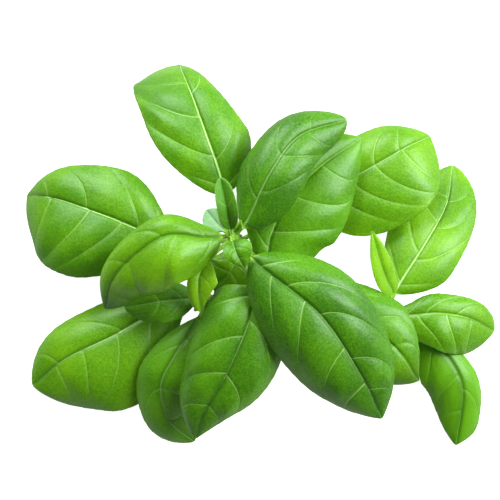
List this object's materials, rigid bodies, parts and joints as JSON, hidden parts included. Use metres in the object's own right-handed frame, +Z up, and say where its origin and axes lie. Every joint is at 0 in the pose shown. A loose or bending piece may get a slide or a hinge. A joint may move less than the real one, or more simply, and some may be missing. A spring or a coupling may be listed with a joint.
{
  "type": "basil bunch",
  "caption": "Bunch of fresh basil lying on a surface: cut sprigs with glossy, domed, pointed oval leaves on slender stalks round leafy shoot tips.",
  "frame": {"origin": "middle of the bunch's footprint, on the surface that it lies on", "axes": "+Z up from the surface; +X along the longest spread of the leaves; +Y across it, towards the two leaves that stand out at the top"},
  "size_m": [0.1821, 0.1486, 0.0574],
  "materials": {
    "leaf_deep": "satin",
    "leaf_mid": "satin",
    "leaf_bright": "satin",
    "leaf_young": "satin",
    "stem": "satin"
  },
  "bodies": {
    "root": {"stem_centre": "stem", "stem_left": "stem", "stem_right": "stem", "leaf_big_lower_right": "leaf_mid", "leaf_behind_big": "leaf_mid", "leaf_low_centre": "leaf_mid", "leaf_inner_dark": "leaf_deep", "leaf_mid_left": "leaf_bright", "leaf_top_centre": "leaf_mid", "leaf_top_centre_under": "leaf_mid", "leaf_top_left": "leaf_bright", "leaf_far_left": "leaf_bright", "leaf_top_right_broad": "leaf_bright", "leaf_low_left": "leaf_bright", "leaf_small_dark": "leaf_deep", "leaf_small_curled": "leaf_young", "leaf_low_under": "leaf_mid", "leaf_inner_low": "leaf_mid", "leaf_young_curled": "leaf_young", "leaf_right_large": "leaf_bright", "leaf_right_bright": "leaf_young", "leaf_drooping": "leaf_mid", "leaf_young_folded": "leaf_deep", "leaf_young_bright": "leaf_young", "leaf_pale_behind": "leaf_young"}
  },
  "joints": []
}
